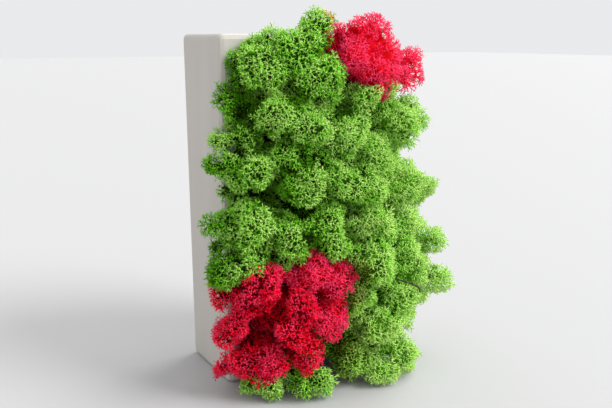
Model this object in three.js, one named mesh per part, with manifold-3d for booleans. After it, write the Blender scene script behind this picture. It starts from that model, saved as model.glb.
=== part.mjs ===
// Reindeer moss in a white holder: cushions of forked twigs, green and crimson, fill the open side of a
// shallow box that stands on its narrow end. Millimetres, +Z up, the moss faces -Y, and the origin is the
// middle of the face that the holder stands on.
import * as THREE from 'three';
import { mergeVertices } from 'three/addons/utils/BufferGeometryUtils.js';
import Module from 'manifold-3d';

const wasm = await Module();
wasm.setup();

// Holder
const holderWidth = 140;
const holderDepth = 62;
const holderHeight = 240;
const wallThickness = 10;
const edgeRadius = 4;
const rimBevel = 3.5;
const cavityCornerRadius = 3;
const cornerClearance = 1.2;
const roundingSteps = 2;
const cutPast = 5;
const weldDistance = 1e-4;

// Backing pad, which fills the holder up to a little behind its rim
const padSetBack = 9;
const gap = 0.3;

// Moss heads
const groundClearance = 1;
const edgeBand = { side: 48, top: 222, bottom: 34 };
const tipDepth = 2.2;
const hollowDepth = 4.8;
const burrJitter = 0.8;
const fullReliefRadius = 14;
const smallHeadRadius = 10.5;
const rootWidth = 1.05;
const seed = 7;

// Forked twigs on the heads
const twigShare = 125;
const twigRadius = 1;
const footWidening = 1.2;
const saddleRise = 0.6;
const twigReach = 0.8;
const twigSunk = 1.6;
const prongLength = 3.8;
const prongSplay = 3;
const twigMargin = 0.4;

const frontY = -holderDepth / 2;
const padFrontY = frontY + padSetBack;

// Each head of a clump is [across, up, out in front of the rim, radius], the clump's main head first.
const greenClumps = {
  top_left: [[-52, 218, 22, 16], [-46, 233, 17, 11], [-61, 221, 6, 9], [-50, 233, 6, 7]],
  crown: [[-29, 227, 22, 18.5], [-8, 242, 18, 13.5], [-24, 212, 32, 16], [-10, 210, 30, 16],
          [-1, 237, 18, 9], [-18.5, 243.5, 19, 9.5], [-1, 246, 18, 8]],
  left_high: [[-68, 197, 12, 10.5], [-70, 202, 10, 8], [-61, 210, 5, 7], [-65, 187, 6, 7.5]],
  centre_high: [[-44, 191, 28, 17], [-27, 181, 34, 16], [-35, 187, 31, 15]],
  centre: [[0, 173, 34, 16], [14, 183, 30, 13], [18, 200, 32, 12], [-9, 193, 24, 13]],
  right_high: [[47, 179, 28, 20], [60, 189, 26, 10], [77, 178, 22, 8], [68, 186, 12, 10],
               [39, 201, 25, 13], [54.5, 174, 26, 10.5]],
  right_shoulder: [[49.5, 157, 22, 11.5], [63, 168, 12, 9.5], [56, 163, 18, 10]],
  centre_right: [[22, 161, 34, 17], [38, 156, 28, 13]],
  left_middle: [[-60, 155, 24, 16.5], [-58, 175, 17, 12], [-77, 174, 12, 8], [-83, 157, 11, 8],
                [-73, 139, 8, 4], [-57, 164, 3, 6.5], [-63, 148, 6, 5], [-73, 162, 15, 10]],
  middle: [[-33, 147, 38, 16], [-39, 163, 32, 13], [-14, 163, 28, 13]],
  middle_right: [[16, 139, 38, 18], [-9, 146, 38, 15], [-8, 130, 30, 13]],
  right: [[52, 136, 30, 18.5], [83, 130, 28, 9.5], [83, 127, 10, 10.5], [64, 142, 14, 9.5],
          [55, 145, 16, 11], [70, 132, 22, 11]],
  left_big: [[-64, 121, 26, 19], [-85, 121, 16, 8], [-65, 133, 8, 6], [-77, 120, 19, 9.5]],
  left_low: [[-65, 98, 28, 15], [-84, 92, 18, 10.5], [-81, 104, 15, 7], [-88, 85, 18, 7],
             [-81, 80, 15, 7], [-75, 95, 22, 11]],
  centre_low: [[-41, 112, 34, 17], [-14, 118, 40, 16], [-13, 103, 42, 13], [3, 106, 32, 11],
               [-44, 94, 30, 8]],
  right_low: [[18, 115, 40, 17], [36, 103, 38, 13]],
  right_middle: [[51, 107, 36, 15.5], [86, 89.5, 33, 10.5], [75, 102, 12, 11.5], [78, 119, 14, 11.5],
                 [57, 118, 18, 11], [84, 85, 26, 10], [78, 90, 14, 11]],
  swell_left: [[18, 88, 44, 21], [8, 70, 46, 15]],
  swell_right: [[49, 82, 40, 20], [40, 62, 46, 17]],
  right_edge: [[80, 64, 46, 11], [77, 75, 18, 13], [79, 50, 22, 12.5], [79, 63, 30, 10.4]],
  lower_right: [[24, 45, 48, 17], [42, 41, 44, 12.5], [6, 50, 36, 13]],
  foot_right: [[34, 24, 46, 16], [47, 14, 51, 13], [22, 11, 54, 12.5], [23, 18, 36, 11],
               [42, 21, 38, 9.5], [37, 13, 50, 10.4]],
  foot_corner: [[64, 39, 24, 10], [71, 27, 18, 10.5], [67, 33, 20, 9]],
  foot_olive: [[5, 21, 40, 17]],
  foot_middle: [[-32, 13, 44, 14], [-27, 13, 50, 11.5]],
  foot_left: [[-53, 10, 36, 10.5], [-65, 13, 21, 9.5]],
};
const crimsonClumps = {
  top: [[28, 240, 23, 15], [9, 226, 29, 13.5], [36, 226, 24, 16.5], [28, 213, 32, 16],
        [36, 200, 31, 7.5], [8, 242, 21, 7], [28, 229, 30, 10.5], [18, 244, 21, 7.5], [8, 234, 27, 8]],
  top_right: [[66, 220, 18, 10.5], [75, 213, 18, 9.5], [57, 211, 24, 11], [79, 222, 9, 9]],
  middle: [[-26, 85.5, 40, 16.5], [-14, 80, 44, 14.5], [-17, 56, 46, 16]],
  left: [[-59, 82, 36, 15], [-78, 71, 14, 10], [-74, 58, 26, 10], [-79, 45, 14, 10], [-76, 51, 21, 9],
         [-69, 70, 27, 12]],
  inner: [[-38, 66, 44, 13], [-45, 50, 44, 13]],
  foot: [[-32, 39, 46, 11], [-35, 26, 46, 10]],
  left_edge: [[-58, 27, 34, 15], [-82, 20.5, 15, 8], [-73, 25, 24, 9]],
};

const up = new THREE.Vector3(0, 0, 1);
const slantwise = new THREE.Vector3(0.31, 0.87, -0.39);
const noneRaised = 2;
const frontRings = [
  { angle: 0, along: 0, count: 1, raised: 0 },
  { angle: Math.PI / 6, along: 0, count: 6, raised: noneRaised },
  { angle: Math.PI / 3, along: 0, count: 12, raised: 1 },
];
const flankRings = [
  { angle: Math.PI / 2, along: 0, count: 12, raised: 0 },
  { angle: Math.PI / 2, along: 0.4, count: 6, raised: 1 },
];
const smallRings = [
  { angle: 0, along: 0, count: 1, raised: 0 },
  { angle: Math.PI / 4, along: 0, count: 6, raised: 1 },
  { angle: Math.PI / 2, along: 0, count: 6, raised: 0 },
];
const rootRing = { count: 6 };

const plaster = new THREE.MeshStandardMaterial({ color: 0xe4e2dd, roughness: 0.85, metalness: 0 });
const foam = new THREE.MeshStandardMaterial({ color: 0x2f3b1c, roughness: 1, metalness: 0 });
const greenMoss = new THREE.MeshStandardMaterial({ color: 0x6aa52c, roughness: 0.9, metalness: 0 });
const crimsonMoss = new THREE.MeshStandardMaterial({ color: 0xc8143c, roughness: 0.9, metalness: 0 });

// Seeded draws, the same on every run
function seededRandom(seed) {
  let state = seed;
  return () => {
    state = (state + 0x6d2b79f5) | 0;
    let mixed = Math.imul(state ^ (state >>> 15), 1 | state);
    mixed = (mixed + Math.imul(mixed ^ (mixed >>> 7), 61 | mixed)) ^ mixed;
    return ((mixed ^ (mixed >>> 14)) >>> 0) / 4294967296;
  };
}

function toSolid(geometry) {
  geometry.deleteAttribute('normal');
  geometry.deleteAttribute('uv');
  const merged = mergeVertices(geometry, weldDistance);
  return new wasm.Manifold(new wasm.Mesh({
    numProp: 3,
    vertProperties: Float32Array.from(merged.attributes.position.array),
    triVerts: Uint32Array.from(merged.index.array),
  }));
}

function toGeometry(solid) {
  const mesh = solid.getMesh();
  const geometry = new THREE.BufferGeometry();
  geometry.setAttribute('position', new THREE.BufferAttribute(mesh.vertProperties, 3));
  geometry.setIndex(new THREE.BufferAttribute(mesh.triVerts, 1));
  geometry.computeVertexNormals();
  return geometry;
}

function piece(name, solid, material) {
  const mesh = new THREE.Mesh(toGeometry(solid), material);
  mesh.name = name;
  return mesh;
}

// A rectangle with round corners, centred on x = 0 and standing on y = bottom
function roundedRectangle(width, bottom, top, radius) {
  const side = width / 2;
  const shape = new THREE.Shape();
  shape.moveTo(-side + radius, bottom);
  shape.lineTo(side - radius, bottom);
  shape.absarc(side - radius, bottom + radius, radius, -Math.PI / 2, 0);
  shape.lineTo(side, top - radius);
  shape.absarc(side - radius, top - radius, radius, 0, Math.PI / 2);
  shape.lineTo(-side + radius, top);
  shape.absarc(-side + radius, top - radius, radius, Math.PI / 2, Math.PI);
  shape.lineTo(-side, bottom + radius);
  shape.absarc(-side + radius, bottom + radius, radius, Math.PI, 1.5 * Math.PI);
  return shape;
}

// Stands an extrusion up, so that its outline faces front and back and its depth runs from nearY to farY
function standingExtrusion(shape, nearY, farY, bevel = 0) {
  const geometry = new THREE.ExtrudeGeometry(shape, {
    depth: farY - nearY - 2 * bevel,
    curveSegments: roundingSteps,
    bevelEnabled: bevel > 0,
    bevelThickness: bevel,
    bevelSize: bevel,
    bevelOffset: -bevel,
    bevelSegments: roundingSteps,
  });
  geometry.rotateX(Math.PI / 2);
  geometry.translate(0, farY - bevel, 0);
  return toSolid(geometry);
}

function block(width, nearY, farY, bottom, top) {
  const geometry = new THREE.BoxGeometry(width, farY - nearY, top - bottom);
  geometry.translate(0, (nearY + farY) / 2, (bottom + top) / 2);
  return toSolid(geometry);
}

function cavityOutline(inset) {
  const width = holderWidth - 2 * wallThickness - 2 * inset;
  return roundedRectangle(width, wallThickness + inset, holderHeight - wallThickness - inset,
    cavityCornerRadius);
}

function holderSolid() {
  const outline = roundedRectangle(holderWidth, 0, holderHeight, edgeRadius);
  const outside = standingExtrusion(outline, frontY, -frontY, rimBevel);
  const cavity = standingExtrusion(cavityOutline(0), frontY - cutPast, -frontY - wallThickness);
  return outside.subtract(cavity);
}

function padSolid() {
  return standingExtrusion(cavityOutline(gap), padFrontY, -frontY - wallThickness - gap);
}

// The space that the moss keeps out of: the holder, the pad and the ground, each with its gap
function keptClear() {
  const inset = wallThickness + cornerClearance;
  const shaft = block(holderWidth - 2 * inset, frontY - cutPast, padFrontY, inset, holderHeight - inset);
  const around = block(holderWidth + 2 * gap, frontY - gap, -frontY, -cutPast, holderHeight + gap);
  const ground = block(4 * holderWidth, -4 * holderDepth, holderDepth, -holderDepth, groundClearance);
  return around.subtract(shaft).add(ground);
}

// Everything beyond a plane, as a block that is larger than any clump
function farSide(origin, plane) {
  const size = holderHeight;
  const geometry = new THREE.BoxGeometry(size, size, size);
  geometry.translate(0, 0, size / 2 + plane.distance);
  geometry.applyQuaternion(new THREE.Quaternion().setFromUnitVectors(up, plane.normal));
  geometry.translate(origin.x, origin.y, origin.z);
  return toSolid(geometry);
}

function readHeads(clumps, colour) {
  return Object.entries(clumps).map(([name, rows]) => {
    const clump = { name: `${colour}_${name}`, heads: [] };
    clump.heads = rows.map(([across, height, out, radius]) => (
      { centre: new THREE.Vector3(across, frontY - out, height), radius, clump }
    ));
    return clump;
  });
}

// Neighbouring clumps press flat against each other. Each head keeps to its own side of the upright plane
// in which its sphere and the other clump's sphere cross, as seen from the front, half a gap back from it.
function pressedPlanes(head, allHeads) {
  return allHeads.filter((other) => other.clump !== head.clump).map((other) => {
    const between = other.centre.clone().sub(head.centre).setY(0);
    const apart = between.length();
    const share = (apart ** 2 + head.radius ** 2 - other.radius ** 2) / (2 * apart);
    return { normal: between.divideScalar(apart), distance: share - gap / 2 };
  });
}

// How far a point lies beyond a plane of its head's, or short of it where the result is negative
function beyond(point, plane, head) {
  return point.clone().sub(head.centre).dot(plane.normal) - plane.distance;
}

function pressFlat(points, head) {
  return head.planes
    .filter((plane) => points.some((point) => beyond(point, plane, head) > 0))
    .reduce((rest, plane) => rest.subtract(farSide(head.centre, plane)),
      solidFrom(points, ringTriangles(head.rings)));
}

// A root stands flat on the pad, inside the holder's opening, as near behind its head as the walls allow
function rootCentre(head) {
  const sideLimit = holderWidth / 2 - wallThickness - head.radius * rootWidth;
  const endLimit = wallThickness + head.radius * rootWidth;
  return new THREE.Vector3(
    THREE.MathUtils.clamp(head.centre.x, -sideLimit, sideLimit),
    padFrontY - gap,
    THREE.MathUtils.clamp(head.centre.z, endLimit, holderHeight - endLimit));
}

// Heads near the edges of the moss show their flanks too, and the others are hidden there
function isAtEdge(head) {
  const { x, z } = head.centre;
  return Math.abs(x) > edgeBand.side || z > edgeBand.top || z < edgeBand.bottom;
}

function ringsFor(head) {
  if (head.radius < smallHeadRadius) {
    return [...smallRings, rootRing];
  }
  return [...frontRings, ...(isAtEdge(head) ? flankRings : []), rootRing];
}

// A head is a burr on a root. Its points lie in rings around its pole: every second place is raised to a
// tip, the places between them are hollows, and the last ring is the root's. A ring lies on the sphere at
// its angle from the pole, or around the root at its share of the way to the pad. Small heads are smoother.
function headPoints(head, random) {
  const foot = rootCentre(head);
  const pole = head.centre.clone().sub(foot).normalize();
  const north = up.clone().addScaledVector(pole, -up.dot(pole)).normalize();
  const east = north.clone().cross(pole);
  const turn = random() * Math.PI / 3;
  const relief = Math.min(1, head.radius / fullReliefRadius);
  const points = [];
  for (const ring of head.rings.slice(0, -1)) {
    const middle = head.centre.clone().lerp(foot, ring.along);
    for (let place = 0; place < ring.count; place += 1) {
      const azimuth = turn + (2 * Math.PI * place) / ring.count;
      const depth = place % 2 === ring.raised ? tipDepth : hollowDepth;
      const reach = head.radius - relief * (depth + burrJitter * random());
      points.push(pole.clone().multiplyScalar(Math.cos(ring.angle))
        .addScaledVector(east, Math.sin(ring.angle) * Math.cos(azimuth))
        .addScaledVector(north, Math.sin(ring.angle) * Math.sin(azimuth))
        .multiplyScalar(reach).add(middle));
    }
  }
  const { count } = head.rings.at(-1);
  for (let place = 0; place < count; place += 1) {
    const azimuth = turn + (2 * Math.PI * place) / count;
    points.push(new THREE.Vector3(Math.cos(azimuth), 0, Math.sin(azimuth))
      .multiplyScalar(head.radius * rootWidth).add(foot));
  }
  return points;
}

// Triangles between two rings of point numbers. The second ring has six times, twice, just as many or half
// as many points as the first, and no edge joins two raised ones.
function bandTriangles(inner, outer, raised) {
  const [near, far] = [inner, outer].map((ring) => (place) => ring[place % ring.length]);
  if (inner.length === 1) {
    return outer.map((_, k) => [near(0), far(k), far(k + 1)]);
  }
  if (outer.length === 2 * inner.length) {
    return inner.flatMap((_, k) => [
      [near(k), far(2 * k), far(2 * k + 1)],
      [near(k), far(2 * k + 1), near(k + 1)],
      [near(k + 1), far(2 * k + 1), far(2 * k + 2)],
    ]);
  }
  if (outer.length === inner.length) {
    return inner.flatMap((_, k) => (k % 2 === raised
      ? [[near(k), far(k), near(k + 1)], [near(k + 1), far(k), far(k + 1)]]
      : [[near(k), far(k), far(k + 1)], [near(k), far(k + 1), near(k + 1)]]));
  }
  return outer.flatMap((_, k) => [
    [near(2 * k), far(k), near(2 * k + 1)],
    [near(2 * k + 1), far(k), far(k + 1)],
    [near(2 * k + 1), far(k + 1), near(2 * k + 2)],
  ]);
}

function ringTriangles(rings) {
  let start = 0;
  const numbers = rings.map((ring) => {
    start += ring.count;
    return Array.from({ length: ring.count }, (_, place) => start - ring.count + place);
  });
  const bands = numbers.slice(1).flatMap((outer, i) => bandTriangles(numbers[i], outer, rings[i].raised));
  const root = numbers.at(-1);
  const foot = root.slice(2).map((point, i) => [root[0], point, root[i + 1]]);
  return [...bands, ...foot];
}

function solidFrom(points, triangles) {
  const geometry = new THREE.BufferGeometry().setFromPoints(points);
  geometry.setIndex(triangles.flat());
  return toSolid(geometry);
}

// A twig is a three-sided stem whose end splits into three pointed prongs
function twigPoints(head, direction, random) {
  const side = slantwise.clone().cross(direction).normalize();
  side.applyAxisAngle(direction, random() * 2 * Math.PI);
  const ringAt = (height, radius, turn) => [0, 1, 2].map((k) => side.clone()
    .applyAxisAngle(direction, turn + (k * 2 * Math.PI) / 3).multiplyScalar(radius)
    .addScaledVector(direction, height).add(head.centre));
  const forkHeight = head.radius + twigReach - prongLength;
  const base = ringAt(head.radius - hollowDepth - twigSunk, twigRadius * footWidening, 0);
  const fork = ringAt(forkHeight, twigRadius, 0);
  const tips = ringAt(head.radius + twigReach, prongSplay, Math.PI / 3);
  const middle = head.centre.clone().addScaledVector(direction, forkHeight + twigRadius * saddleRise);
  return [...base, ...fork, ...tips, middle];
}

function twigTriangles() {
  const triangles = [[0, 2, 1]];
  for (let k = 0; k < 3; k += 1) {
    const next = (k + 1) % 3;
    const [tip, middle] = [6 + k, 9];
    triangles.push([k, next, 3 + next], [k, 3 + next, 3 + k]);
    triangles.push([3 + k, 3 + next, tip], [3 + next, middle, tip], [middle, 3 + k, tip]);
  }
  return triangles;
}

// A twig is kept where it clears the holder, the ground, the neighbouring clumps and the other heads
function isFree(points, head, allHeads) {
  const clearOfHolder = points.every((p) => p.y < frontY - gap && p.z > groundClearance);
  const inPlace = points.every((p) => head.planes.every((plane) => beyond(p, plane, head) < -twigMargin));
  const outermost = points.slice(6, 9).every((p) => allHeads.every((other) => (
    other === head || p.distanceTo(other.centre) > other.radius)));
  return clearOfHolder && inPlace && outermost;
}

// Twigs stand in the middle of a burr's facets, evenly chosen from those that are free
function headTwigs(head, points, allHeads, random) {
  const onSphere = head.rings.filter((ring) => ring.along === 0).reduce((sum, ring) => sum + ring.count, 0);
  const facets = ringTriangles(head.rings).filter((corners) => corners.every((corner) => corner < onSphere));
  const free = facets.map((corners) => {
    const direction = new THREE.Vector3();
    corners.forEach((corner) => direction.add(points[corner]).sub(head.centre));
    return twigPoints(head, direction.normalize(), random);
  }).filter((twig) => isFree(twig, head, allHeads));
  const step = Math.max(1, free.length / Math.round(head.radius ** 2 / twigShare));
  const chosen = [];
  for (let place = step / 2; place < free.length; place += step) {
    chosen.push(solidFrom(free[Math.floor(place)], twigTriangles()));
  }
  return chosen;
}

// Trimming can cut a crumb loose, and only the body that it came from is kept
function largestBody(solid) {
  return solid.decompose().reduce((best, body) => (body.volume() > best.volume() ? body : best));
}

function clumpSolid(clump, allHeads, clear, random) {
  let solid = null;
  for (const head of clump.heads) {
    const points = headPoints(head, random);
    const burr = pressFlat(points, head);
    solid = solid === null ? burr : solid.add(burr);
    for (const twig of headTwigs(head, points, allHeads, random)) {
      solid = solid.add(twig);
    }
  }
  return largestBody(solid.subtract(clear));
}

function addMoss(group) {
  const colours = [['green', greenClumps, greenMoss], ['crimson', crimsonClumps, crimsonMoss]];
  const clear = keptClear();
  const random = seededRandom(seed);
  const sets = colours.map(([colour, clumps, material]) => ({ clumps: readHeads(clumps, colour), material }));
  const allHeads = sets.flatMap((set) => set.clumps.flatMap((clump) => clump.heads));
  for (const head of allHeads) {
    head.planes = pressedPlanes(head, allHeads);
    head.rings = ringsFor(head);
  }
  for (const set of sets) {
    for (const clump of set.clumps) {
      group.add(piece(clump.name, clumpSolid(clump, allHeads, clear, random), set.material));
    }
  }
}

const clumpInHolder = new THREE.Group();
clumpInHolder.add(piece('holder_box', holderSolid(), plaster));
clumpInHolder.add(piece('backing_pad', padSolid(), foam));
addMoss(clumpInHolder);

export default clumpInHolder;
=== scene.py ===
import math

import bpy
import numpy as np
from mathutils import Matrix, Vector


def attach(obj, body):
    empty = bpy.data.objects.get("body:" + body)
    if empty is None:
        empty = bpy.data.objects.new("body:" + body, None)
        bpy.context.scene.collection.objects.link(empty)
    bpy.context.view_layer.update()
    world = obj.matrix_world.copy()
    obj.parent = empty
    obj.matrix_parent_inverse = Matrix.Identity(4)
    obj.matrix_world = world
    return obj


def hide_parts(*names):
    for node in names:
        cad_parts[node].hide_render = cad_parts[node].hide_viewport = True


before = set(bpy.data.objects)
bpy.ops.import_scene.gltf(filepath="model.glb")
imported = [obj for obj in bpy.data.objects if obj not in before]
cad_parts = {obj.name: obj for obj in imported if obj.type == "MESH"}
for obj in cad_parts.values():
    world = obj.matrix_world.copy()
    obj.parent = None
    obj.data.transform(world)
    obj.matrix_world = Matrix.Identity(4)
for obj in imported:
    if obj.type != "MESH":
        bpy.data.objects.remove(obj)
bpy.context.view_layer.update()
millimetre = 0.001

view = {
    "place": (-0.261, -0.442, 0.238),
    "heading": 31.8,  # degrees to the right of straight ahead
    "pitch": -13.44,  # degrees below level
    "lens": 41.18,  # millimetres, as the film's width
    "filmWidth": 36.0,
    "nearest": 0.01,
}
cameraData = bpy.data.cameras.new("camera")
cameraData.lens = view["lens"]
cameraData.sensor_width = view["filmWidth"]
cameraData.clip_start = view["nearest"]
camera = bpy.data.objects.new("camera", cameraData)
camera.location = view["place"]
camera.rotation_euler = (math.radians(90 + view["pitch"]), 0, -math.radians(view["heading"]))
bpy.context.scene.collection.objects.link(camera)
bpy.context.scene.camera = camera
bpy.context.scene.view_settings.view_transform = "Standard"
print("camera set")


def unit(vectors):  # each vector divided by its own length
    return vectors / np.maximum(np.linalg.norm(vectors, axis=-1, keepdims=True), 1e-12)


# A mesh from an array of points and a list of face arrays, which hold three or four point numbers a row. marks are
# named numbers, one for each point. cellMap gives every face a cell of its own in the bake's map: the cells fill a
# square grid row by row, and a face's corners stand in the corners of its cell.
def makeMesh(name, points, faces, marks=None, cellMap=False):
    mesh = bpy.data.meshes.new(name)
    sizes = np.concatenate([np.full(len(rows), rows.shape[1]) for rows in faces])
    corners = np.concatenate([rows.ravel() for rows in faces])
    starts = np.concatenate([[0], np.cumsum(sizes)[:-1]])
    mesh.vertices.add(len(points))
    mesh.vertices.foreach_set("co", (points * millimetre).astype(np.float32).ravel())
    mesh.loops.add(len(corners))
    mesh.loops.foreach_set("vertex_index", corners.astype(np.int32))
    mesh.polygons.add(len(sizes))
    mesh.polygons.foreach_set("loop_start", starts.astype(np.int32))
    mesh.polygons.foreach_set("use_smooth", np.ones(len(sizes), bool))
    mesh.update(calc_edges=True)
    for mark, values in (marks or {}).items():
        mesh.attributes.new(mark, "FLOAT", "POINT").data.foreach_set("value", values.astype(np.float32))
    if cellMap:
        across = math.ceil(math.sqrt(len(sizes)))
        cell = np.repeat(np.arange(len(sizes)), sizes)
        place = np.arange(len(corners)) - np.repeat(starts, sizes)
        inset = 0.2
        u = np.where((place == 1) | (place == 2), 1 - inset, inset)
        v = np.where(place >= 2, 1 - inset, inset)
        spots = np.stack([(cell % across + u) / across, (cell // across + v) / across], axis=1)
        mesh.uv_layers.new(name="OFBake").uv.foreach_set("vector", spots.astype(np.float32).ravel())
    return mesh


def addPiece(name, mesh, material, slot, *nodes):
    piece = bpy.data.objects.new(name, mesh)
    bpy.context.scene.collection.objects.link(piece)
    mesh.materials.append(material)
    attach(piece, "root")
    if nodes:
        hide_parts(*nodes)
    return piece


class Wire:  # a socket, on which Python's operators add Math nodes
    def __init__(self, tree, socket):
        self.tree, self.socket = tree, socket

    def maths(self, operation, *values):
        node = self.tree.nodes.new("ShaderNodeMath")
        node.operation = operation
        for place, value in enumerate(values):
            if isinstance(value, Wire):
                self.tree.links.new(value.socket, node.inputs[place])
            else:
                node.inputs[place].default_value = value
        return Wire(self.tree, node.outputs[0])

    def __add__(self, other):
        return self.maths("ADD", self, other)

    __radd__ = __add__

    def __mul__(self, other):
        return self.maths("MULTIPLY", self, other)

    __rmul__ = __mul__

    def __sub__(self, other):
        return self.maths("SUBTRACT", self, other)

    def __rsub__(self, other):
        return self.maths("SUBTRACT", other, self)


class Finish:  # a material that is being put together
    def __init__(self, name):
        self.material = bpy.data.materials.new(name)
        self.material.use_nodes = True
        self.tree = self.material.node_tree
        self.shader = self.tree.nodes["Principled BSDF"]

    def add(self, kind, output, settings=None, sockets=None):
        node = self.tree.nodes.new(kind)
        for name, value in (settings or {}).items():
            setattr(node, name, value)
        for name, value in (sockets or {}).items():
            self.feed(node.inputs[name], value)
        return Wire(self.tree, node.outputs[output])

    def feed(self, socket, value):
        if isinstance(value, Wire):
            self.tree.links.new(value.socket, socket)
        else:
            socket.default_value = value

    def set(self, **sockets):
        for name, value in sockets.items():
            self.feed(self.shader.inputs[name.replace("_", " ")], value)

    def blend(self, amount, first, second):  # a Mix node on colours
        return self.add("ShaderNodeMix", 2, {"data_type": "RGBA"}, {0: amount, 6: first, 7: second})

    def remap(self, value, low, high):  # 0 up to low and 1 from high on
        return self.add("ShaderNodeMapRange", 0, None, {"Value": value, "From Min": low, "From Max": high})

    def noise(self, scale, detail=2.0, roughness=0.5, stretch=(1, 1, 1)):
        own = self.add("ShaderNodeTexCoord", "Object")
        places = self.add("ShaderNodeMapping", 0, None, {"Vector": own, "Scale": stretch})
        sockets = {"Vector": places, "Scale": scale, "Detail": detail, "Roughness": roughness}
        return self.add("ShaderNodeTexNoise", 0, None, sockets)

    def bump(self, height, strength, distance):
        sockets = {"Height": height, "Strength": strength, "Distance": distance}
        return self.add("ShaderNodeBump", 0, None, sockets)

    def mark(self, name):
        return self.add("ShaderNodeAttribute", "Fac", {"attribute_name": name})


def colour(red, green, blue):
    return (red, green, blue, 1.0)


# In both tones deep is a painted shade: the dark colour at the twigs' roots and on the core, deep in the moss
# where shade falls.
greenShades = {
    "deep": colour(0.018, 0.052, 0.002),
    "middle": colour(0.152, 0.54, 0.010),
    "tip": colour(0.348, 0.745, 0.09),
    "warm": colour(0.505, 0.80, 0.18),
    "faded": colour(0.12, 0.115, 0.012),
    "dye": colour(0.75, 0.01, 0.03),
}
crimsonShades = {
    "deep": colour(0.13, 0.0001, 0.002),
    "middle": colour(0.95, 0.0006, 0.012),
    "tip": colour(0.98, 0.007, 0.052),
    "warm": colour(0.98, 0.055, 0.16),
    "faded": colour(0.30, 0.005, 0.02),
    "dye": colour(0.90, 0.03, 0.12),
}
mossLook = {
    "patches": {"scale": 45, "detail": 3},
    "middle": (0.08, 0.5),  # between which reaches the deep shade turns into the middle one
    "tip": (0.4, 0.85),  # and the middle one into the tips'
    "tipPatches": 0.25,  # how far the patches move that
    "warm": (0.35, 0.9),  # between which tints the tips turn warm
    "warmPatches": 0.6,
    "dye": (0.3, 0.5),  # between which reaches the dye sets in
    "gloss": {"Roughness": 0.75, "Specular_IOR_Level": 0.06},
}


# Twigs run from a deep shade at their roots, which is painted shade, to a pale one at their tips. Their reach mark
# also carries the painted shade of crevices and the painted light of pale clumps. Some tufts are warmer than
# others, partly at random and partly as painted light on tops, old ones have faded, and the twigs of some have
# taken the other tone's dye.
def mossFinish(name, shades):
    look, finish = mossLook, Finish(name)
    reach, tint, age, dyed = (finish.mark(mark) for mark in ("reach", "tint", "age", "dyed"))
    patch = finish.noise(**look["patches"]) - 0.5
    lowerHalf = finish.remap(reach, *look["middle"])
    upperHalf = finish.remap(reach + look["tipPatches"] * patch, *look["tip"])
    warmth = finish.remap(tint + look["warmPatches"] * patch, *look["warm"])
    body = finish.blend(lowerHalf, shades["deep"], shades["middle"])
    tips = finish.blend(warmth, shades["tip"], shades["warm"])
    aged = finish.blend(age, finish.blend(upperHalf, body, tips), shades["faded"])
    dyeing = dyed * finish.remap(reach, *look["dye"])
    finish.set(Base_Color=finish.blend(dyeing, aged, shades["dye"]), **look["gloss"])
    return finish.material


plasterLook = {
    "clean": colour(0.49, 0.465, 0.435),
    "grey": colour(0.455, 0.43, 0.40),
    "streaks": {"scale": 60, "detail": 4, "roughness": 0.6, "stretch": (1, 1, 0.06)},
    "clouds": {"scale": 14, "detail": 3},
    "cloudShare": 0.7,
    "dirt": (0.4, 0.75),  # between which values of streaks and clouds the grey sets in
    "dirtShare": 0.8,
    "specks": {"scale": 420, "detail": 2},
    "speckEdge": (0.66, 0.76),
    "speckShare": 0.35,
    "skin": {"scale": 700, "detail": 4, "roughness": 0.6},
    "skinStreaks": 0.8,
    "roughness": 0.86,
    "bump": {"strength": 0.12, "distance": 0.001},
}


def plasterFinish():  # painted plaster: faint upright streaks, small specks and a fine uneven skin
    look, finish = plasterLook, Finish("white plaster")
    streaks = finish.noise(**look["streaks"])
    clouds = finish.noise(**look["clouds"])
    specks = finish.remap(finish.noise(**look["specks"]), *look["speckEdge"])
    dirt = finish.remap(streaks + look["cloudShare"] * (clouds - 0.5), *look["dirt"])
    shade = finish.blend(look["dirtShare"] * dirt, look["clean"], look["grey"])
    skin = finish.noise(**look["skin"]) + look["skinStreaks"] * streaks
    specked = finish.blend(look["speckShare"] * specks, shade, look["grey"])
    finish.set(Base_Color=specked, Roughness=look["roughness"], Normal=finish.bump(skin, **look["bump"]))
    return finish.material


fibreLook = {  # matted plant fibre, dark and dull
    "dark": colour(0.006, 0.01, 0.003),
    "light": colour(0.05, 0.06, 0.02),
    "strands": {"scale": 260, "detail": 5, "roughness": 0.7, "stretch": (1, 0.4, 1)},
    "roughness": 0.95,
    "bump": {"strength": 0.8, "distance": 0.001},
}
barkLook = {  # dark bark with fine rings
    "dark": colour(0.008, 0.005, 0.003),
    "light": colour(0.06, 0.035, 0.02),
    "strands": {"scale": 900, "detail": 3, "roughness": 0.6},
    "roughness": 0.8,
    "bump": {"strength": 0.5, "distance": 0.0005},
}


def fibreFinish(name, look):  # one noise gives the strands' shade and their height
    finish = Finish(name)
    strands = finish.noise(**look["strands"])
    shade = finish.blend(strands, look["dark"], look["light"])
    finish.set(Base_Color=shade, Roughness=look["roughness"], Normal=finish.bump(strands, **look["bump"]))
    return finish.material


coats = {"holder_box": plasterFinish(), "backing_pad": fibreFinish("matted fibre", fibreLook)}
for nodeName, coat in coats.items():
    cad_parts[nodeName].data.materials.clear()
    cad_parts[nodeName].data.materials.append(coat)
mossMaterials = {
    "green": mossFinish("green moss", greenShades),
    "crimson": mossFinish("crimson moss", crimsonShades),
}
print("materials made")

holder = {
    "width": 140,
    "height": 240,
    "wall": 10,
    "rim": -31,  # where the rim stands, and the pad behind it
    "pad": -22.3,
    "clear": 0.4,  # how far the moss keeps off its walls
    "ground": 0.6,  # and off the ground
}
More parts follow.
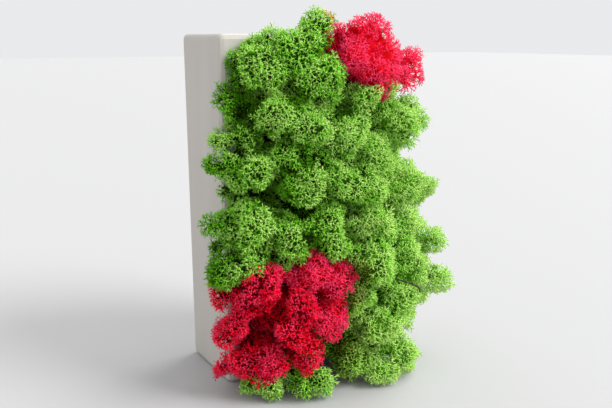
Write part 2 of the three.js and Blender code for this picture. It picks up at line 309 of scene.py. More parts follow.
# Each head of a clump is [across, up, out in front of the rim, radius].
clumps = {
    "green": {
        "top_left": [[-52, 218, 22, 16], [-46, 233, 17, 11], [-61, 221, 6, 9], [-50, 233, 6, 7]],
        "crown": [[-29, 227, 22, 18.5], [-8, 242, 18, 13.5], [-24, 212, 32, 16], [-10, 210, 30, 16],
                  [-1, 237, 18, 9], [-18.5, 243.5, 19, 9.5], [-1, 246, 18, 8]],
        "left_high": [[-68, 197, 12, 10.5], [-70, 202, 10, 8], [-61, 210, 5, 7], [-65, 187, 6, 7.5]],
        "centre_high": [[-44, 191, 28, 17], [-27, 181, 34, 16], [-35, 187, 31, 15]],
        "centre": [[0, 173, 34, 16], [14, 183, 30, 13], [18, 200, 32, 12], [-9, 193, 24, 13]],
        "right_high": [[47, 179, 28, 20], [60, 189, 26, 10], [77, 178, 22, 8], [68, 186, 12, 10],
                       [39, 201, 25, 13], [54.5, 174, 26, 10.5]],
        "right_shoulder": [[49.5, 157, 22, 11.5], [63, 168, 12, 9.5], [56, 163, 18, 10]],
        "centre_right": [[22, 161, 34, 17], [38, 156, 28, 13]],
        "left_middle": [[-60, 155, 24, 16.5], [-58, 175, 17, 12], [-77, 174, 12, 8], [-83, 157, 11, 8],
                        [-73, 139, 8, 4], [-57, 164, 3, 6.5], [-63, 148, 6, 5], [-73, 162, 15, 10]],
        "middle": [[-33, 147, 38, 16], [-39, 163, 32, 13], [-14, 163, 28, 13]],
        "middle_right": [[16, 139, 38, 18], [-9, 146, 38, 15], [-8, 130, 30, 13]],
        "right": [[52, 136, 30, 18.5], [83, 130, 28, 9.5], [83, 127, 10, 10.5], [64, 142, 14, 9.5],
                  [55, 145, 16, 11], [70, 132, 22, 11]],
        "left_big": [[-64, 121, 26, 19], [-85, 121, 16, 8], [-65, 133, 8, 6], [-77, 120, 19, 9.5]],
        "left_low": [[-65, 98, 28, 15], [-84, 92, 18, 10.5], [-81, 104, 15, 7], [-88, 85, 18, 7],
                     [-81, 80, 15, 7], [-75, 95, 22, 11]],
        "centre_low": [[-41, 112, 34, 17], [-14, 118, 40, 16], [-13, 103, 42, 13], [3, 106, 32, 11],
                       [-44, 94, 30, 8]],
        "right_low": [[18, 115, 40, 17], [36, 103, 38, 13]],
        "right_middle": [[51, 107, 36, 15.5], [86, 89.5, 33, 10.5], [75, 102, 12, 11.5],
                         [78, 119, 14, 11.5], [57, 118, 18, 11], [84, 85, 26, 10], [78, 90, 14, 11]],
        "swell_left": [[18, 88, 44, 21], [8, 70, 46, 15]],
        "swell_right": [[49, 82, 40, 20], [40, 62, 46, 17]],
        "right_edge": [[80, 64, 46, 11], [77, 75, 18, 13], [79, 50, 22, 12.5], [79, 63, 30, 10.4]],
        "lower_right": [[24, 45, 48, 17], [42, 41, 44, 12.5], [6, 50, 36, 13]],
        "foot_right": [[34, 24, 46, 16], [47, 14, 51, 13], [22, 11, 54, 12.5], [23, 18, 36, 11],
                       [42, 21, 38, 9.5], [37, 13, 50, 10.4]],
        "foot_corner": [[64, 39, 24, 10], [71, 27, 18, 10.5], [67, 33, 20, 9]],
        "foot_olive": [[5, 21, 40, 17]],
        "foot_middle": [[-32, 13, 44, 14], [-27, 13, 50, 11.5]],
        "foot_left": [[-53, 10, 36, 10.5], [-65, 13, 21, 9.5]],
    },
    "crimson": {
        "top": [[28, 240, 23, 15], [9, 226, 29, 13.5], [36, 226, 24, 16.5], [28, 213, 32, 16],
                [36, 200, 31, 7.5], [8, 242, 21, 7], [28, 229, 30, 10.5], [18, 244, 21, 7.5],
                [8, 234, 27, 8]],
        "top_right": [[66, 220, 18, 10.5], [75, 213, 18, 9.5], [57, 211, 24, 11], [79, 222, 9, 9]],
        "middle": [[-26, 85.5, 40, 16.5], [-14, 80, 44, 14.5], [-17, 56, 46, 16]],
        "left": [[-59, 82, 36, 15], [-78, 71, 14, 10], [-74, 58, 26, 10], [-79, 45, 14, 10],
                 [-76, 51, 21, 9], [-69, 70, 27, 12]],
        "inner": [[-38, 66, 44, 13], [-45, 50, 44, 13]],
        "foot": [[-32, 39, 46, 11], [-35, 26, 46, 10]],
        "left_edge": [[-58, 27, 34, 15], [-82, 20.5, 15, 8], [-73, 25, 24, 9]],
    },
}
trunk = {
    "width": 0.9,  # of the head's radius
    "step": 0.7,  # of the head's radius
    "margin": 1.05,  # how far its foot keeps off the holder's walls, of the head's radius
    "bridge": 0.86,  # the ball between two large heads, of their mean radius
    "large": 13,
    "close": 2.4,  # how far apart they are at most, of their mean radius
}
planting = {
    "spacing": 4.7,  # between tufts of full size
    "size": 0.84,
    "lift": -0.6,  # of the crowns above the heads
    "overlap": 3.5,  # how far under another clump's surface tufts still grow
    "behind": 6,  # and how far behind the rim
    "unrest": 0.2,
    "lean": 0.6,  # how much of the waves' slope the tufts follow
    "smoothing": 9,
    "fullHead": 11,  # the radius from which a head carries tufts of full size
    "least": 0.55,  # the scale of tufts on the smallest heads
    "shift": 5.0,  # how far a tuft is moved to come out of the holder and the ground
    "seed": 11,
}
grain = {  # clumps whose tufts are finer or coarser than the rest
    "green_top_left": 0.93,
    "green_crown": 0.95,
    "green_centre_high": 0.8,
    "green_centre": 0.82,
    "green_right_high": 0.85,
    "green_centre_right": 0.78,
    "green_left_middle": 0.93,
    "green_middle": 0.85,
    "green_middle_right": 0.82,
    "green_right": 0.85,
    "green_left_big": 0.93,
    "green_left_low": 0.97,
    "green_centre_low": 0.9,
    "green_right_low": 0.85,
    "green_right_middle": 0.85,
    "green_swell_left": 0.9,
    "green_swell_right": 0.88,
    "green_right_edge": 0.9,
    "green_lower_right": 0.88,
    "green_foot_right": 0.85,
    "crimson_top": 0.84,
    "crimson_top_right": 0.86,
    "crimson_middle": 0.86,
    "crimson_left": 0.92,
    "crimson_inner": 0.9,
    "crimson_foot": 0.9,
}
openness = {  # clumps whose tufts stand further apart
    "crimson_top": 1.24,
    "crimson_top_right": 1.32,
}
palenessAndLight = {  # clumps that are lighter or darker than the rest, partly in their own tone and partly by painted light and shade: lit clumps lighter, shadowed ones darker
    "green_top_left": -0.12,
    "green_crown": -0.15,
    "green_left_high": -0.2,
    "green_centre_high": 0.15,
    "green_centre": 0.42,
    "green_right_high": 0.55,
    "green_right_shoulder": 0.65,
    "green_centre_right": 0.5,
    "green_middle_right": 0.3,
    "green_right": 0.75,
    "green_left_big": 0.1,
    "green_centre_low": -0.1,
    "green_right_low": 0.65,
    "green_right_middle": 0.8,
    "green_swell_left": 0.3,
    "green_swell_right": 0.55,
    "green_right_edge": 0.75,
    "green_lower_right": 0.65,
    "green_foot_right": 0.7,
    "green_foot_corner": 0.6,
    "green_foot_left": -0.1,
    "crimson_top": 0.95,
    "crimson_top_right": 1.0,
    "crimson_middle": 0.65,
    "crimson_left": -0.1,
    "crimson_inner": -0.1,
    "crimson_foot": -0.15,
    "crimson_left_edge": -0.1,
}
relief = {
    "reach": 18,  # how far off a neighbour counts
    "own": 0.1,  # nearer than this is the crown itself
    "block": 400,  # about how many crowns are worked out together
    "level": 0.6,  # how far out a crown on flat moss stands
    "stretch": 2.1,
    "sink": 4.5,  # how much deeper tufts stand in a crevice
    "shade": 0.5,  # how light their colour is there, a painted shade, where 1 is a tuft on a top
    "pale": 0.85,  # how much of its paleness and light lifts a clump's darkest colour, painted light in its shade
    "darken": 0.4,  # how much of a paleness and light below 0 darkens a whole clump, partly its own tone and partly painted shade
    "fall": 5.0,  # how much deeper tufts stand in a hollow
    "hollowShade": 0.92,  # how much darker their colour is there: painted shade
    "stub": 3.8,  # what still stands out of the core
}
variety = {  # how much the tufts of a clump differ
    "size": (0.85, 1.15),
    "age": 0.06,
    "topLight": 0.5,  # how much warmer and paler tufts are that stand out: painted light on tops
    "paleAndLitTint": 0.35,  # and those of a pale clump, partly its own tone and partly painted light
}
hollows = [  # places between the cushions where tufts stand deeper and their colour is darkened, a painted shade: [across, up, out, radius, strength]
    [-58, 190, 17, 10, 1.0],
    [-57, 178, 27, 6, 0.9],
    [-37, 201, 40, 7, 1.0],
    [-24, 198, 40, 4, 0.8],
    [-34, 166, 44, 8, 1.0],
    [-42, 175, 37, 4, 0.8],
    [3, 190, 30, 7, 0.9],
    [30, 180, 38, 6, 0.7],
    [-46, 156, 41, 6, 0.9],
    [-77, 155, 29, 6, 0.8],
    [-64, 141, 33, 6, 0.8],
    [-46, 138, 41, 7, 0.9],
    [-33, 114, 49, 7, 1.0],
    [-77, 108, 31, 5, 0.8],
    [-14, 69, 56, 5, 1.0],
    [-8, 31, 40, 8, 0.9],
    [-4, 85, 56, 5, 0.6],
    [-57, 50, 26, 7, 0.9],
    [-55, 46, 51, 6, 0.9],
    [-28, 44, 55, 5, 0.8],
    [-38, 74, 52, 5, 0.6],
    [-63, 34, 14, 5, 0.8],
    [-46, 14, 47, 5, 0.8],
    [-2, 210, 44, 5, 0.7],
    [-67, 203, 21, 6, 0.6],
    [-18, 158, 39, 6, 0.6],
    [45, 161, 38, 6, 0.5],
    [9, 165, 45, 5, 0.5],
    [-13, 146, 52, 5, 0.4],
    [13, 134, 55, 5, 0.4],
]
paintedShadows = [  # the same, for places that only get a painted shadow
    [-90, 124, 18, 12, 0.6],
    [-86, 108, 13, 9, 0.7],
    [-90, 91, 18, 14, 0.6],
    [-86, 157, 12, 10, 0.5],
    [-72, 202, 10, 12, 0.5],
    [-64, 220, 5, 10, 0.5],
    [-40, 50, 48, 12, 0.3],
    [-60, 64, 40, 10, 0.3],
]
swell = [  # waves that make the cushions uneven: [how many, wavelength, height]
    [7, 26, 1.8],
    [9, 12, 0.9],
]
swellGain = 1.4  # makes up for waves that cancel each other
tuft = {
    "levels": [  # a stem, and then the branches that each of the last ones splits into, three at a time
        # reach picks each level's colour, from the painted shade at the roots to the tips' own colour
        {"length": 4.0, "splay": 0, "radius": 0.55, "reach": 0.2},
        {"length": 3.4, "splay": 38, "radius": 0.44, "reach": 0.5},
        {"length": 2.6, "splay": 46, "radius": 0.38, "reach": 0.82},
        {"length": 1.7, "splay": 72, "radius": 0, "reach": 1.0},
    ],
    "height": 9.4,
    "flare": 1.2,  # how much wider the foot is than the stem
    "uneven": 0.35,  # how much branches differ in length and splay
    "unrest": 0.08,
    "saddle": 0.5,  # how far the middle of a fork stands up, of the branch's radius
}
undergrowth = {  # smaller tufts on the core, which fill the gaps between the others
    "spacing": 4.9,
    "size": 0.98,
    "root": 0.6,  # how deep their feet are in the core
    "hidden": 5.0,  # how far inside another clump none grow
    # shade is a painted shade: how light their colour is, where 1 is a large tuft on a top
    "shade": 0.65,
    "pale": 0.6,  # their floor, of the large tufts' mean, painted light in their shade
    "tint": 0.3,
}
core = {
    "depth": 10.0,  # under tufts of full size
    "follow": (-1.5, 3.0),  # how far the core goes along with the waves above it
    "least": 2.6,
    "voxel": 2.2,
    "rings": 10,
    "pale": 0.5,  # its floor, of all tufts' mean; the core is coloured in the deep painted shade, lifted by painted light in pale clumps
    "tint": 0.5,
}
fadedSpots = [  # [across, up, out, radius, strength]
    [1, 21, 40, 16, 0.5],
    [-7, 31, 43, 9, 0.7],
    [-12, 26, 44, 8, 0.6],
    [6, 50, 36, 12, 0.5],
    [-2, 66, 52, 8, 0.7],
    [0, 86, 54, 9, 0.75],
    [2, 75, 58, 7, 0.6],
    [-40, 204, 20, 12, 0.25],
]
dyedSpots = [  # the same, but the strength is the chance that a tuft has taken the other tone's dye
    [3, 247, 17, 9, 0.6],
    [3, 236, 23, 9, 0.5],
    [3, 222, 28, 7, 0.4],
]
spotEnd = 1.5  # where a spot has faded out, of its radius


# The balls that the moss is made of. Each head is a ball, and so is each place along its trunk, which runs from
# the head to the pad. A smaller ball bridges two large heads that follow each other closely.
def readBalls():
    centres, radii, owners = [], [], []
    for tone, group in clumps.items():
        for name, heads in group.items():
            for across, up, out, radius in heads:
                centre = np.array([across, holder["rim"] - out, up], float)
                sideLimit = holder["width"] / 2 - holder["wall"] - radius * trunk["margin"]
                endLimit = holder["wall"] + radius * trunk["margin"]
                foot = np.array([np.clip(across, -sideLimit, sideLimit), holder["pad"],
                                 np.clip(up, endLimit, holder["height"] - endLimit)])
                length = np.linalg.norm(foot - centre)
                steps = np.arange(0, length, trunk["step"] * radius) / length
                for share in steps:
                    centres.append(centre + share * (foot - centre))
                    radii.append(radius if share == 0 else radius * trunk["width"])
                    owners.append(f"{tone}_{name}")
            for one, other in zip(heads, heads[1:]):
                between = (np.array(one) + other) / 2
                apart = np.linalg.norm(np.subtract(one, other)[:3])
                if min(one[3], other[3]) >= trunk["large"] and apart < trunk["close"] * between[3]:
                    centres.append(np.array([between[0], holder["rim"] - between[2], between[1]]))
                    radii.append(between[3] * trunk["bridge"])
                    owners.append(f"{tone}_{name}")
    return np.array(centres), np.array(radii), np.array(owners)


# A clump's swelling as a sum of sines along random ways, and its slope, the sum of the cosines times those ways.
def waves(points, place):
    random = np.random.default_rng([planting["seed"], place, 1])
    height, slope = np.zeros(len(points)), np.zeros(points.shape)
    for count, length, rise in swell:
        ways = unit(random.normal(0, 1, (count, 3))) * 2 * math.pi / length
        phases = points @ ways.T + random.uniform(0, 2 * math.pi, count)
        height += rise * np.sin(phases).sum(axis=1) / math.sqrt(count) * swellGain
        slope += rise * (np.cos(phases) @ ways) / math.sqrt(count) * swellGain
    return height, slope


# Marks points that keep their distance, which is given for each. In each round the points that come first among
# their neighbours stay, and their neighbours go.
def spread(points, spacing, random):
    order = random.permutation(len(points))
    near = ((points[:, None] - points[None]) ** 2).sum(axis=2) < spacing[:, None] * spacing[None]
    stays, waits = np.zeros(len(points), bool), np.ones(len(points), bool)
    while waits.any():
        firsts = waits & (np.where(near & waits[None], order[None], len(points)).min(axis=1) == order)
        stays |= firsts
        waits &= ~near[:, firsts].any(axis=1)
    return stays


# Where a clump's tufts grow: their crowns, their ways, how far the waves lift them, and their scale, which is less
# on small heads. The clump's balls are fused and smoothed, one spot is taken on each face of the skin, at random
# between its corners, and of those outside the other clumps a spread out part is kept. The waves lift each crown
# and lean its tuft down their slope.
def plantClump(place, node, balls):
    random = np.random.default_rng([planting["seed"], place])
    centres, radii, owners = balls
    mine = owners == node
    skin, quads, normals = fusedSkin(node, centres[mine], radii[mine] + planting["lift"], planting["smoothing"])
    across, along = random.uniform(0, 1, (2, len(quads)))
    shares = np.stack([(1 - across) * (1 - along), across * (1 - along), across * along, (1 - across) * along])
    skin, normals = (np.einsum("kn,nkd->nd", shares, values[quads]) for values in (skin, normals))
    apart = np.linalg.norm(skin[:, None] - centres[~mine][None], axis=2)
    free = (apart > radii[~mine][None] - planting["overlap"]).all(axis=1)
    free &= skin[:, 1] < holder["rim"] + planting["behind"]
    skin, normals = skin[free], normals[free]
    inside = np.linalg.norm(skin[:, None] - centres[mine][None], axis=2) - radii[mine][None]
    scale = np.clip(radii[mine][inside.argmin(axis=1)] / planting["fullHead"], planting["least"], 1)
    scale *= planting["size"] * grain.get(node, 1)
    chosen = spread(skin, planting["spacing"] * openness.get(node, 1) * scale, random)
    spots, ways = skin[chosen], normals[chosen]
    height, slope = waves(spots, place)
    tangent = slope - ways * (slope * ways).sum(axis=1, keepdims=True)
    crowns = spots + ways * height[:, None]
    ways = unit(ways - planting["lean"] * tangent + random.normal(0, planting["unrest"], ways.shape))
    return crowns, ways, height, scale[chosen]


# How far each crown stands out, from 0 in a crevice to 1 on a top: the mean, over its neighbours, of the cosine
# between its way and the line to the neighbour, turned round and stretched.
def standOut(crowns, ways):
    result = np.zeros(len(crowns))
    for part in np.array_split(np.arange(len(crowns)), max(1, len(crowns) // relief["block"])):
        lines = crowns[None] - crowns[part][:, None]
        apart = np.linalg.norm(lines, axis=2)
        near = (apart < relief["reach"]) & (apart > relief["own"])
        rise = (lines * ways[part][:, None]).sum(axis=2) / np.maximum(apart, relief["own"])
        result[part] = (rise * near).sum(axis=1) / np.maximum(near.sum(axis=1), 1)
    return np.clip(relief["level"] - relief["stretch"] * result, 0, 1)


# Three corners round each centre: its side, turned by thirds of a circle about its way.
def cornersAround(centres, ways, sides, radii):
    across = np.cross(ways, sides)
    angles = np.arange(3) * 2 * math.pi / 3
    turned = np.cos(angles)[:, None] * sides[:, None] + np.sin(angles)[:, None] * across[:, None]
    return centres[:, None] + radii[:, None, None] * turned


# Forked tufts, each one closed surface. A branch is a three-sided tube that starts on a triangle of corners and
# ends in a smaller one. There a middle point is raised, which makes three triangles, and each starts a branch that
# leans out over its own edge. The last branches end in points.
def growTufts(feet, ways, sizes, levels, random):
    sides = unit(np.cross(ways, random.normal(0, 1, ways.shape)))
    base = cornersAround(feet, ways, sides, sizes * levels[0]["radius"] * tuft["flare"])
    points, reaches = [base.reshape(-1, 3)], [np.zeros(base.size // 3)]
    owners = [np.repeat(np.arange(len(feet)), 3)]
    numbers = np.arange(base.size // 3).reshape(-1, 3)
    triangles, quads = [numbers[:, ::-1]], []
    centres, owner, total = feet, np.arange(len(feet)), numbers.size
    for place, level in enumerate(levels):
        stretch = 1 + tuft["uneven"] * random.uniform(-1, 1, len(centres))
        ends = centres + ways * (sizes[owner] * level["length"] * stretch)[:, None]
        if place == len(levels) - 1:
            tips = total + np.arange(len(ends))
            for k in range(3):
                triangles.append(np.stack([numbers[:, k], numbers[:, (k + 1) % 3], tips], axis=1))
            points.append(ends)
            reaches.append(np.full(len(ends), level["reach"]))
            owners.append(owner)
            break
        ring = cornersAround(ends, ways, sides, sizes[owner] * level["radius"])
        ringNumbers = total + np.arange(len(ends) * 3).reshape(-1, 3)
        middles = ends + ways * (sizes[owner] * level["radius"] * tuft["saddle"])[:, None]
        middleNumbers = ringNumbers.max() + 1 + np.arange(len(ends))
        total = middleNumbers.max() + 1
        points += [ring.reshape(-1, 3), middles]
        reaches.append(np.full(len(ends) * 4, level["reach"]))
        owners += [np.repeat(owner, 3), owner]
        for k in range(3):
            after = (k + 1) % 3
            corners = [numbers[:, k], numbers[:, after], ringNumbers[:, after], ringNumbers[:, k]]
            quads.append(np.stack(corners, axis=1))
        splay = math.radians(levels[place + 1]["splay"])
        children = {"centres": [], "ways": [], "sides": [], "numbers": []}
        for k in range(3):
            after = (k + 1) % 3
            outward = unit((ring[:, k] + ring[:, after]) / 2 - ends)
            lean = splay * (1 + tuft["uneven"] * random.uniform(-1, 1, len(ends)))[:, None]
            way = unit(ways * np.cos(lean) + outward * np.sin(lean) + random.normal(0, tuft["unrest"], ways.shape))
            start = (ring[:, k] + ring[:, after] + middles) / 3
            side = ring[:, k] - start
            side = unit(side - way * (side * way).sum(axis=1, keepdims=True))
            children["centres"].append(start)
            children["ways"].append(way)
            children["sides"].append(side)
            children["numbers"].append(np.stack([ringNumbers[:, k], ringNumbers[:, after], middleNumbers], axis=1))
        centres, ways, sides, numbers = (np.concatenate(children[key]) for key in children)
        owner = np.tile(owner, 3)
    return {
        "points": np.concatenate(points),
        "reach": np.concatenate(reaches),
        "owner": np.concatenate(owners),
        "faces": [np.concatenate(triangles), np.concatenate(quads)],
    }


def joinTufts(one, other, count):  # the other's tufts are numbered on from count
    total = len(one["points"])
    return {
        "points": np.concatenate([one["points"], other["points"]]),
        "reach": np.concatenate([one["reach"], other["reach"]]),
        "owner": np.concatenate([one["owner"], other["owner"] + count]),
        "faces": [np.concatenate([rows, more + total]) for rows, more in zip(one["faces"], other["faces"])],
    }


# Moves each tuft out of the holder's walls, by the shortest way, and off the ground, and leaves out those that
# would have to go too far. A tuft's push is the largest that one of its points needs.
def clearTufts(grown, count):
    owner, clear = grown["owner"], holder["clear"]
    x, y, z = grown["points"].T
    half, inner = holder["width"] / 2 + clear, holder["width"] / 2 - holder["wall"] - clear
    solid = (abs(x) < half) & (y > holder["rim"] - clear) & (z < holder["height"] + clear)
    ceiling = holder["height"] - holder["wall"] - clear
    solid &= (abs(x) > inner) | (z < holder["wall"] + clear) | (z > ceiling) | (y > holder["pad"])
    pushes = np.zeros((4, count))
    for place, depth in enumerate([x + half, half - x, y - holder["rim"] + clear, holder["height"] + clear - z]):
        np.maximum.at(pushes[place], owner[solid], depth[solid])
    ways = np.array([[-1, 0, 0], [1, 0, 0], [0, -1, 0], [0, 0, 1]])
    shift = ways[pushes.argmin(axis=0)] * pushes.min(axis=0)[:, None]
    sunk = np.zeros(count)
    np.maximum.at(sunk, owner, holder["ground"] - z)
    shift[:, 2] += sunk
    kept = np.linalg.norm(shift, axis=1) < planting["shift"]
    grown["points"] = grown["points"] + shift[owner]
    stays = kept[owner]
    number = np.cumsum(stays) - 1
    grown["faces"] = [number[rows[stays[rows[:, 0]]]] for rows in grown["faces"]]
    for key in ("points", "reach", "owner"):
        grown[key] = grown[key][stays]
    return grown


# A ball as rings of points from pole to pole, its height the cosine and its width the sine of the angle.
def ballGrid(centre, radius):
    rings, around = core["rings"], 2 * core["rings"]
    angle = np.arange(1, rings) * math.pi / rings
    azimuth = np.arange(around) * 2 * math.pi / around
    belt = np.stack([np.sin(angle)[:, None] * np.cos(azimuth), np.sin(angle)[:, None] * np.sin(azimuth),
                     np.cos(angle)[:, None] * np.ones(around)], axis=2).reshape(-1, 3)
    points = centre + radius * np.concatenate([[[0, 0, 1]], belt, [[0, 0, -1]]])
    ring, step = np.meshgrid(np.arange(rings - 2), np.arange(around), indexing="ij")
    here, after = 1 + ring * around + step, 1 + ring * around + (step + 1) % around
    quads = np.stack([here, here + around, after + around, after], axis=2).reshape(-1, 4)
    first, last = 1 + np.arange(around), 1 + (rings - 2) * around + np.arange(around)
    top = np.stack([np.zeros(around, int), first, np.roll(first, -1)], axis=1)
    bottom = np.stack([np.full(around, len(points) - 1), np.roll(last, -1), last], axis=1)
    return points, [np.concatenate([top, bottom]), quads]


# Balls fused into one skin, and smoothed: its points, its four-sided faces and its normals.
def fusedSkin(name, centres, radii, smoothing):
    points, triangles, quads, total = [], [], [], 0
    for centre, radius in zip(centres, radii):
        ballPoints, (ballTriangles, ballQuads) = ballGrid(centre, radius)
        points.append(ballPoints)
        triangles.append(ballTriangles + total)
        quads.append(ballQuads + total)
        total += len(ballPoints)
    mesh = makeMesh(name, np.concatenate(points), [np.concatenate(triangles), np.concatenate(quads)])
    body = bpy.data.objects.new(name, mesh)
    bpy.context.scene.collection.objects.link(body)
    fuse = body.modifiers.new("fuse", "REMESH")
    fuse.mode = "VOXEL"
    fuse.voxel_size = core["voxel"] * millimetre
    if smoothing:
        soften = body.modifiers.new("soften", "SMOOTH")
        soften.iterations = smoothing
    fused = body.evaluated_get(bpy.context.evaluated_depsgraph_get()).to_mesh()
    skin = np.empty(len(fused.vertices) * 3, np.float32)
    fused.vertices.foreach_get("co", skin)
    normals = np.empty(len(fused.vertices) * 3, np.float32)
    fused.vertex_normals.foreach_get("vector", normals)
    corners = np.empty(len(fused.loops), np.int32)
    fused.loops.foreach_get("vertex_index", corners)
    bpy.data.objects.remove(body)
    return skin.reshape(-1, 3) / millimetre, corners.reshape(-1, 4), normals.reshape(-1, 3)


# Each spot's strength at a place: whole near its middle, then less, until it has faded out. The largest counts.
def spotShare(points, spots):
    share = np.zeros(len(points))
    for across, up, out, radius, strength in spots:
        apart = np.linalg.norm(points - [across, holder["rim"] - out, up], axis=1) / radius
        share = np.maximum(share, strength * np.clip(spotEnd - apart, 0, 1))
    return share


# A clump's core: its balls, made smaller by a depth and fused. Its skin goes along with the waves, within limits,
# and sinks in the hollows.
def coreSkin(place, node, centres, radii, depth):
    skin, quads, normals = fusedSkin(node, centres, np.maximum(radii - depth, core["least"]), 0)
    above = skin + depth * normals
    lift = waves(above, place)[0]
    lift -= relief["fall"] * spotShare(above, hollows)
    return skin + normals * np.clip(lift, *core["follow"])[:, None], quads, normals


# The smaller tufts, which fork once less, and the spots that they stand on. The spots are points of the core's
# skin in front of the rim and not deep inside the other clumps' balls, and keep their distance.
def growUnder(node, skin, normals, others, random):
    centres, radii = others
    scale = planting["size"] * grain.get(node, 1)
    apart = np.linalg.norm(skin[:, None] - centres[None], axis=2)
    seen = (apart > radii[None] - undergrowth["hidden"]).all(axis=1) & (skin[:, 1] < holder["rim"])
    spacing = undergrowth["spacing"] * scale * math.sqrt(openness.get(node, 1))
    seen[seen] = spread(skin[seen], np.full(seen.sum(), spacing), random)
    feet = skin[seen] - normals[seen] * undergrowth["root"]
    sizes = np.full(seen.sum(), undergrowth["size"] * scale)
    return skin[seen], growTufts(feet, normals[seen], sizes, tuft["levels"][1:], random)


# The marks that the material reads at each point of a clump's tufts and then of its core. Reach runs from 0 at a
# root to 1 at a tip. It is brought down by a painted shade in crevices, hollows and shadowed places, and lifted
# off 0 by a floor in pale clumps, which paints light into their shade. looks holds the tints, ages and dyes of the
# large tufts, and the smaller ones have their own.
def mossMarks(node, grown, crowns, stand, looks, spots, skin):
    pale, tuftOf = palenessAndLight.get(node, 0), grown["owner"]
    hollow = spotShare(crowns, hollows)
    # painted shade: crevices and hollows darken the tufts' colour, and so do the painted shadows
    shade = (relief["shade"] + (1 - relief["shade"]) * stand) * (1 - relief["hollowShade"] * hollow)
    shade *= 1 - spotShare(crowns, paintedShadows)
    shade = np.concatenate([shade, undergrowth["shade"] * (1 - relief["hollowShade"] * spotShare(spots, hollows))])
    # painted light: the floor lifts the darkest colour of pale and lit clumps
    floor = max(pale, 0) * relief["pale"] * (1 - hollow)
    floor = np.concatenate([floor, np.full(len(spots), undergrowth["pale"] * floor.mean())])
    tints = np.concatenate([looks["tint"], np.full(len(spots), undergrowth["tint"])])
    ages = np.concatenate([looks["age"], spotShare(spots, fadedSpots)])
    dyed = np.concatenate([looks["dyed"], np.zeros(len(spots))])
    # a paleness and light below 0 darkens every twig, partly tone and partly painted shade
    lit = (shade + relief["darken"] * min(pale, 0))[tuftOf]
    reach = floor[tuftOf] + (1 - floor[tuftOf]) * grown["reach"] * lit
    return {
        "reach": np.concatenate([reach, np.full(len(skin), core["pale"] * floor.mean())]),
        "tint": np.concatenate([tints[tuftOf], np.full(len(skin), core["tint"])]),
        "age": np.concatenate([ages[tuftOf], spotShare(skin, fadedSpots)]),
        "dyed": np.concatenate([dyed[tuftOf], np.zeros(len(skin))]),
    }


# One clump as one mesh: its tufts, the smaller tufts and the core. A tuft's foot is its height below its crown,
# and deeper in crevices and hollows, but a stub always stands out of the core. The numbers of the tufts that are
# kept and of triangles are given back.
def growClump(place, node, balls, plants, stand):
    random = np.random.default_rng([planting["seed"] + 1, place])
    centres, radii, owners = balls
    crowns, ways, height, scale = plants
    count, tone, mine = len(crowns), node.split("_")[0], owners == node
    sizes = random.uniform(*variety["size"], count) * scale
    # tufts that stand out get warmer, paler tips, a painted light on tops
    tints = random.uniform(0, 1, count) + variety["topLight"] * (stand - 0.5)
    looks = {"tint": np.clip(tints + variety["paleAndLitTint"] * palenessAndLight.get(node, 0), 0, 1)}
    looks["age"] = np.clip(spotShare(crowns, fadedSpots) + random.normal(0, variety["age"], count), 0, 1)
    looks["dyed"] = (random.uniform(0, 1, count) < spotShare(crowns, dyedSpots)).astype(float)
    sunk = (relief["sink"] * (1 - stand) + relief["fall"] * spotShare(crowns, hollows)) * sizes
    depth = core["depth"] * planting["size"] * grain.get(node, 1)
    sunk = np.minimum(sunk, depth - relief["stub"] * sizes + height - np.clip(height, *core["follow"]))
    feet = crowns - ways * (tuft["height"] * sizes + sunk)[:, None]
    skin, skinQuads, normals = coreSkin(place, node, centres[mine], radii[mine], depth)
    spots, under = growUnder(node, skin, normals, (centres[~mine], radii[~mine]), random)
    grown = growTufts(feet, ways, sizes, tuft["levels"], random)
    grown = clearTufts(joinTufts(grown, under, count), count + len(spots))
    marks = mossMarks(node, grown, crowns, stand, looks, spots, skin)
    triangles, quads = grown["faces"]
    faces = [triangles, np.concatenate([quads, skinQuads + len(grown["points"])])]
    mesh = makeMesh(node, np.concatenate([grown["points"], skin]), faces, marks, cellMap=True)
    addPiece(f"{node}_tufts", mesh, mossMaterials[tone], f"{tone}_moss", node)
    return len(np.unique(grown["owner"])), len(triangles) + 2 * len(faces[1])


def growMoss():
    balls = readBalls()
    nodes = [f"{tone}_{name}" for tone, group in clumps.items() for name in group]
    planted = [plantClump(place, node, balls) for place, node in enumerate(nodes)]
    everyCrown, everyWay, _, _ = (np.concatenate(values) for values in zip(*planted))
    ends = np.cumsum([len(crowns) for crowns, *_ in planted])[:-1]
    stands = np.split(standOut(everyCrown, everyWay), ends)
    grown = [growClump(place, node, balls, plants, stand)
             for place, (node, plants, stand) in enumerate(zip(nodes, planted, stands))]
    tuftTotal, faceTotal = np.sum(grown, axis=0)
    print("moss grown:", tuftTotal, "tufts,", faceTotal, "triangles")


growMoss()

# Bits of wood caught in the moss, each with its way as [across, up, out].
sticks = {
    "caught_stick": {"way": [[34, 75, 53], [39, 73, 56], [42, 72, 59], [46, 70, 62], [50, 66, 60], [52, 61, 57]],
                     "radius": 0.6, "sides": 8, "steps": 5, "knots": 0.25},
    "small_stem": {"way": [[-70, 212, 12], [-71, 209, 17], [-73, 206, 19], [-73, 202, 20]],
                   "radius": 0.4, "sides": 8, "steps": 5, "knots": 0.2},
}
stickAside = (0.3, 0.2, 1.0)  # a way that no stick runs along
stickMaterial = fibreFinish("dark bark", barkLook)


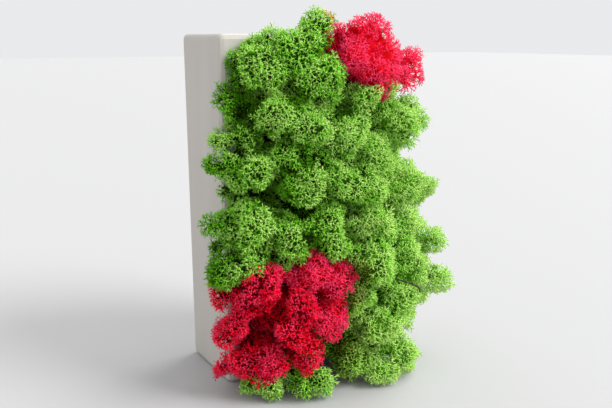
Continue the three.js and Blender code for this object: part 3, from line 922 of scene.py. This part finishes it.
# A stick is a tube: rings along a curve that runs through its places and is a cubic between each two, with the
# slope at a place half the step between its neighbours. Its width rises and falls a little, and each end closes in
# a point.
def makeStick(name, stick, random):
    way = np.array([[across, holder["rim"] - out, up] for across, up, out in stick["way"]], float)
    slopes = np.gradient(way, axis=0)
    t = np.arange(stick["steps"])[:, None] / stick["steps"]
    leave, arrive = 2 * t ** 3 - 3 * t ** 2 + 1, 3 * t ** 2 - 2 * t ** 3
    leaveSlope, arriveSlope = t ** 3 - 2 * t ** 2 + t, t ** 3 - t ** 2
    spans = [way[k] * leave + slopes[k] * leaveSlope + way[k + 1] * arrive + slopes[k + 1] * arriveSlope
             for k in range(len(way) - 1)]
    line = np.concatenate(spans + [way[-1:]])
    ahead = unit(np.gradient(line, axis=0))
    side = unit(np.cross(ahead, stickAside))
    up = np.cross(ahead, side)
    angle = np.arange(stick["sides"]) * 2 * math.pi / stick["sides"]
    width = stick["radius"] * (1 + stick["knots"] * random.uniform(-1, 1, len(line)))
    outward = np.cos(angle)[:, None] * side[:, None] + np.sin(angle)[:, None] * up[:, None]
    rings = line[:, None] + width[:, None, None] * outward
    count, sides = len(line), stick["sides"]
    ring, step = np.meshgrid(np.arange(count - 1), np.arange(sides), indexing="ij")
    here, after = ring * sides + step, ring * sides + (step + 1) % sides
    quads = np.stack([here, after, after + sides, here + sides], axis=2).reshape(-1, 4)
    first = np.arange(sides)
    last = (count - 1) * sides + first
    ends = count * sides + np.arange(2)
    caps = [np.stack([np.roll(first, -1), first, np.full(sides, ends[0])], axis=1),
            np.stack([last, np.roll(last, -1), np.full(sides, ends[1])], axis=1)]
    tips = line[[0, -1]] + stick["radius"] * ahead[[0, -1]] * [[-1], [1]]
    mesh = makeMesh(name, np.concatenate([rings.reshape(-1, 3), tips]), [np.concatenate(caps), quads])
    addPiece(name, mesh, stickMaterial, "pad_fibre")


for stickName, stick in sticks.items():
    makeStick(stickName, stick, np.random.default_rng(planting["seed"]))
print("sticks made")

studio = {
    "wall": colour(0.82, 0.825, 0.84),
    "floor": colour(0.42, 0.42, 0.425),
    "floorReach": 8.0,
    "floorRoughness": 0.9,
    "skyLight": 1.0,
    "suns": {
        "key": {"from": (0.7, -0.75, 0.8), "spread": 30, "strength": 3.1},
        "window": {"from": (1.0, 0.25, 0.6), "spread": 45, "strength": 1.9},
    },
}


def makeFloor():
    reach = studio["floorReach"]
    mesh = bpy.data.meshes.new("floor")
    mesh.from_pydata([(-reach, -reach, 0), (reach, -reach, 0), (reach, reach, 0), (-reach, reach, 0)], [],
                     [(0, 1, 2, 3)])
    floor = bpy.data.objects.new("floor", mesh)
    bpy.context.scene.collection.objects.link(floor)
    finish = Finish("pale floor")
    finish.set(Base_Color=studio["floor"], Roughness=studio["floorRoughness"])
    mesh.materials.append(finish.material)


# An even sky that lights the scene, a plain wall colour where the camera sees it, and soft suns.
def makeLight():
    world = bpy.data.worlds.new("studio")
    bpy.context.scene.world = world
    world.use_nodes = True
    tree = world.node_tree
    seen, given = tree.nodes["Background"], tree.nodes.new("ShaderNodeBackground")
    seen.inputs["Color"].default_value = studio["wall"]
    given.inputs["Color"].default_value = colour(1, 1, 1)
    given.inputs["Strength"].default_value = studio["skyLight"]
    path, mix = tree.nodes.new("ShaderNodeLightPath"), tree.nodes.new("ShaderNodeMixShader")
    tree.links.new(path.outputs["Is Camera Ray"], mix.inputs[0])
    tree.links.new(given.outputs[0], mix.inputs[1])
    tree.links.new(seen.outputs[0], mix.inputs[2])
    tree.links.new(mix.outputs[0], tree.nodes["World Output"].inputs["Surface"])
    for name, sun in studio["suns"].items():
        lamp = bpy.data.lights.new(name, "SUN")
        lamp.energy = sun["strength"]
        lamp.angle = math.radians(sun["spread"])
        light = bpy.data.objects.new(name, lamp)
        light.location = sun["from"]
        light.rotation_euler = Vector(sun["from"]).to_track_quat("Z", "Y").to_euler()
        bpy.context.scene.collection.objects.link(light)


makeFloor()
makeLight()
print("floor and light made")
